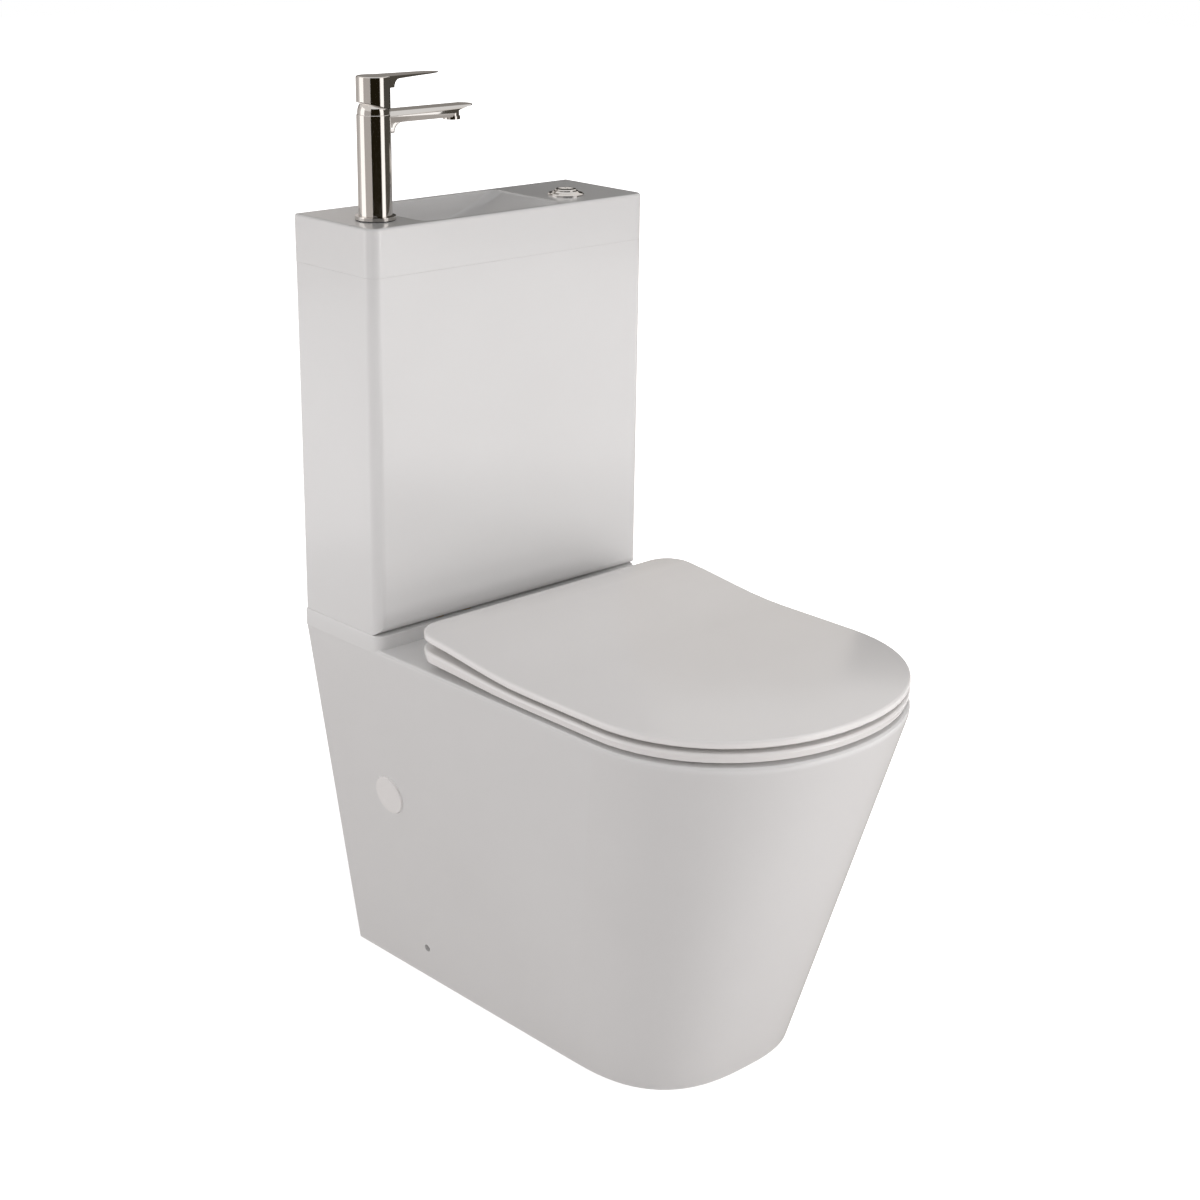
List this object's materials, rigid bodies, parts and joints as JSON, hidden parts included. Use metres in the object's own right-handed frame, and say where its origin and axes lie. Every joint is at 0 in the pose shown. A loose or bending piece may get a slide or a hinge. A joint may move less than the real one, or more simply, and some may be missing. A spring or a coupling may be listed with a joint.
{
  "type": "close-coupled toilet with basin lid",
  "caption": "White close-coupled back-to-wall toilet whose cistern lid is a small hand basin with a chrome mixer tap and a dual flush button.",
  "frame": {"origin": "on the floor, under the middle of the overall box", "axes": "x = across, to the right of someone facing the toilet; y = front to back, the nose at -y and the wall at +y; z = up"},
  "size_m": [0.38, 0.633, 1.0034],
  "materials": {
    "china": "gloss",
    "seat_plastic": "satin gloss",
    "chrome": "polished",
    "valve_plastic": "moulded",
    "rubber": "matt",
    "bumper_rubber": "matt",
    "steel": "brushed",
    "brass": "turned"
  },
  "bodies": {
    "suite": {"pan": "china", "plinth": "china", "bowl": "china", "flush_duct": "china", "trapway": "china", "side_caps": "seat_plastic", "floor_brackets": "valve_plastic", "side_screws": "steel", "floor_screws": "steel", "cistern": "china", "basin_lid": "china", "coupling_gasket": "rubber", "coupling_bolts": "brass", "coupling_seals": "rubber", "coupling_washers": "steel", "wing_nuts": "brass", "basin_waste": "chrome", "waste_seal": "rubber", "waste_nut": "valve_plastic", "tap_body": "chrome", "tap_gasket": "rubber", "aerator": "chrome", "cartridge": "valve_plastic", "cartridge_nut": "brass", "tap_dome": "chrome", "tap_stud": "steel", "tap_clamp": "steel", "tap_nut": "brass", "tap_tails": "steel", "button_housing": "chrome", "button_nut": "valve_plastic", "flush_cables": "rubber", "tap_hoses": "steel", "glands": "brass", "gland_washers": "rubber", "gland_nuts": "brass", "flush_valve": "valve_plastic", "flush_valve_washer": "rubber", "flush_valve_nut": "valve_plastic", "fill_valve": "valve_plastic", "fill_valve_washer": "rubber", "fill_valve_nut": "valve_plastic", "hinge_posts": "chrome", "hinge_pins": "steel", "hinge_bushes": "rubber", "hinge_nuts": "valve_plastic"},
    "seat": {"seat_ring": "seat_plastic", "ring_bumpers": "bumper_rubber"},
    "lid": {"seat_lid": "seat_plastic", "lid_hinges": "seat_plastic", "lid_bumpers": "bumper_rubber"},
    "swivel": {"tap_spindle": "steel"},
    "lever": {"tap_lever": "chrome", "lever_stem": "steel"},
    "full_key": {"large_button": "chrome"},
    "half_key": {"small_button": "chrome"},
    "valve": {"overflow_tube": "valve_plastic", "valve_seal": "rubber"},
    "float_body": {"float_arm": "valve_plastic", "float": "valve_plastic"}
  },
  "joints": [
    {"name": "ring_hinge", "type": "hinge", "parent": "suite", "child": "seat", "pos_m": [0, 0.1223, 0.43], "axis": [-1, 0, 0], "range_deg": [0, 95]},
    {"name": "lid_hinge", "type": "hinge", "parent": "seat", "child": "lid", "pos_m": [0, 0.1223, 0.43], "axis": [1, 0, 0], "range_deg": [-95, 0]},
    {"name": "tap_swivel", "type": "hinge", "parent": "suite", "child": "swivel", "pos_m": [-0.148, 0.2325, 0.967], "axis": [0, 0, 1], "range_deg": [-45, 45]},
    {"name": "lever_tilt", "type": "hinge", "parent": "swivel", "child": "lever", "pos_m": [-0.148, 0.2325, 0.967], "axis": [0, -1, 0], "range_deg": [0, 20]},
    {"name": "full_flush", "type": "slide", "parent": "suite", "child": "full_key", "axis": [0, 0, -1], "range_m": [0, 0.006], "stiffness_N_per_m": 400, "springref_m": -0.002},
    {"name": "half_flush", "type": "slide", "parent": "suite", "child": "half_key", "axis": [0, 0, -1], "range_m": [0, 0.006], "stiffness_N_per_m": 250, "springref_m": -0.002},
    {"name": "valve_lift", "type": "slide", "parent": "suite", "child": "valve", "axis": [0, 0, 1], "range_m": [0, 0.012]},
    {"name": "float_arm_hinge", "type": "hinge", "parent": "suite", "child": "float_body", "pos_m": [-0.082, 0.2825, 0.64], "axis": [0, 1, 0], "range_deg": [0, 18]}
  ],
  "couplings": [
    {"joint": "valve_lift", "follows": "full_flush", "ratio": 2}
  ]
}
